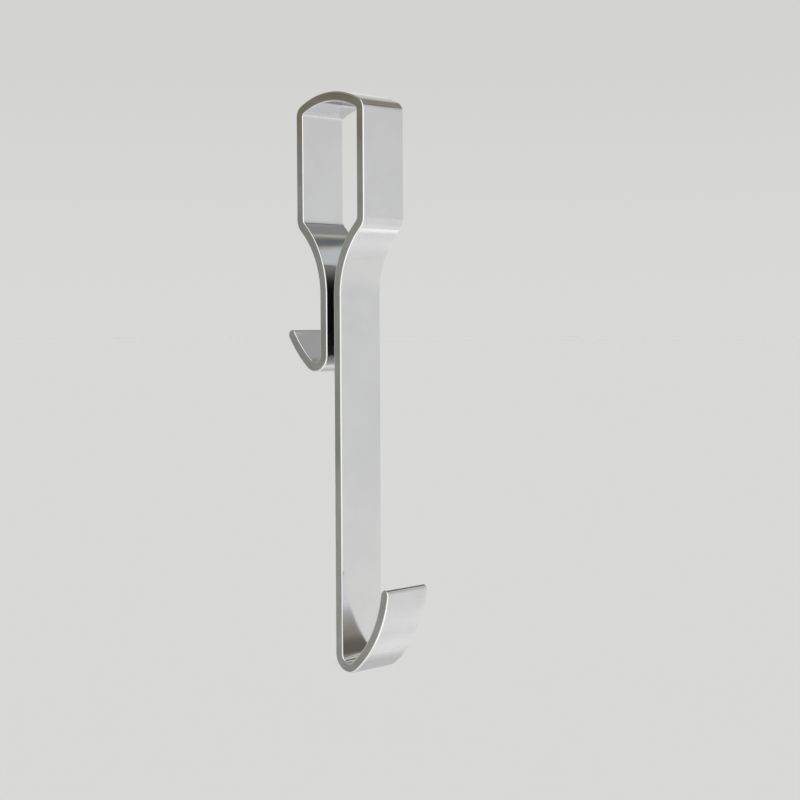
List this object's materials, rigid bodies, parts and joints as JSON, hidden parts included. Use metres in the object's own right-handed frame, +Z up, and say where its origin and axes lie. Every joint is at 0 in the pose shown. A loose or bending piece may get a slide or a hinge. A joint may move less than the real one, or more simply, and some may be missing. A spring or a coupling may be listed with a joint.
{
  "type": "shower door hook",
  "caption": "Over-rail shower door hook: a bright metal strip bent over the top rail, with a wide coat hook on its long front leg and a small hook on its short back leg.",
  "frame": {"origin": "under the crown, at the middle of the strip's width and of the slot for the glass, where the strip rests over the rail", "axes": "X along the rail and across the strip's width, -Y towards the long front leg, +Z up"},
  "size_m": [0.025, 0.0644, 0.2585],
  "materials": {
    "bright_metal": "polished bright, with plainer cut sides"
  },
  "bodies": {
    "root": {"hook_strip": "bright_metal"}
  },
  "joints": []
}
